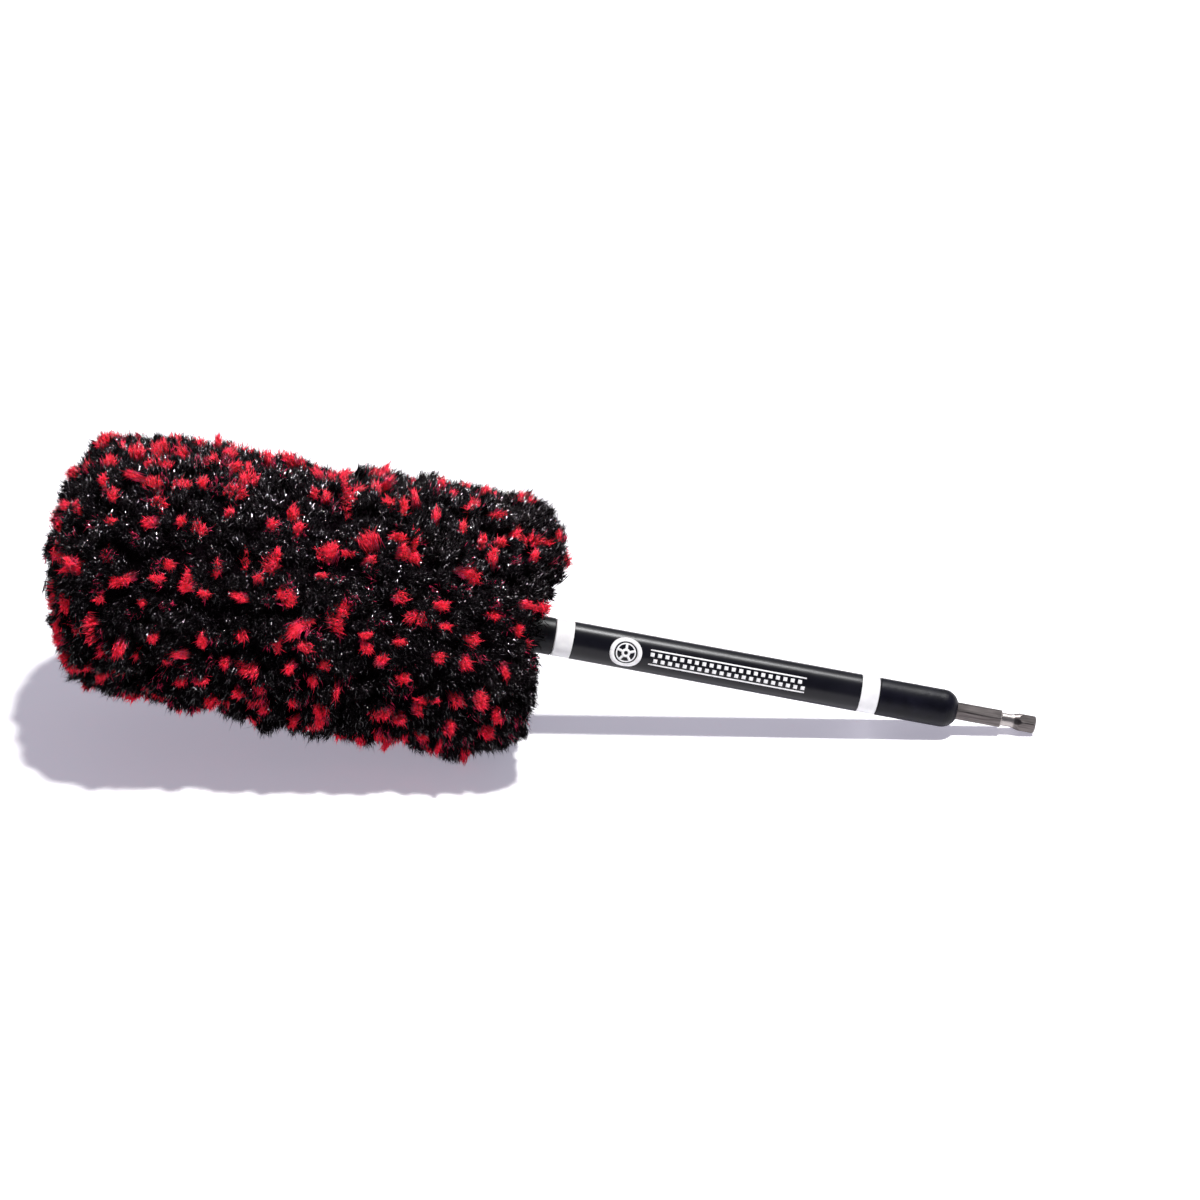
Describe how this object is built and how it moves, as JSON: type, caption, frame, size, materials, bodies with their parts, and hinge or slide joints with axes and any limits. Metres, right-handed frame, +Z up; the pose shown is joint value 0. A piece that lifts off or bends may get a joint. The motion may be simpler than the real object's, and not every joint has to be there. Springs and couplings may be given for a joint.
{
  "type": "wheel brush",
  "caption": "Drill-driven wheel brush with a fluffy pile head, a free-turning grip sleeve and a hex shank.",
  "frame": {"origin": "centre of the bounding box at floor level, with the brush resting on its shank tip and the near edge of its head", "axes": "+Z up; the tool's axis lies in the XZ plane, with the hex shank towards +X and the head raised towards -X"},
  "size_m": [0.3672, 0.098, 0.1245],
  "materials": {
    "shank_steel": "drawn and tempered, bronze-grey",
    "shaft_steel": "ground",
    "pin_steel": "bright",
    "fastener_steel": "zinc plated",
    "boot_black": "satin, slightly uneven",
    "sleeve_black": "satin",
    "bush_white": "turned acetal",
    "collar_black": "satin",
    "plug_grey": "moulded",
    "core_cream": "extruded",
    "strip_weave": "woven tape",
    "binding_black": "moulded",
    "pile_black": "cut synthetic pile",
    "pile_red": "cut synthetic pile"
  },
  "bodies": {
    "brush": {"hex_shank": "shank_steel", "shank_coupler": "shaft_steel", "coupler_pins": "pin_steel", "end_boot": "boot_black", "drive_shaft": "shaft_steel", "shaft_collar": "collar_black", "collar_pin": "pin_steel", "near_plug": "plug_grey", "far_plug": "plug_grey", "plug_pins": "pin_steel", "core_tube": "core_cream", "end_washer": "fastener_steel", "end_screw": "fastener_steel", "backing_strip": "strip_weave", "end_bindings": "binding_black", "black_pile": "pile_black", "red_tufts": "pile_red"},
    "grip": {"rear_bushing": "bush_white", "grip_sleeve": "sleeve_black", "front_bushing": "bush_white"}
  },
  "joints": [
    {"name": "grip_spin", "type": "hinge", "parent": "brush", "child": "grip", "pos_m": [0.06426, 0, 0.02936], "axis": [0.9768, 0, -0.2142], "continuous": true}
  ]
}
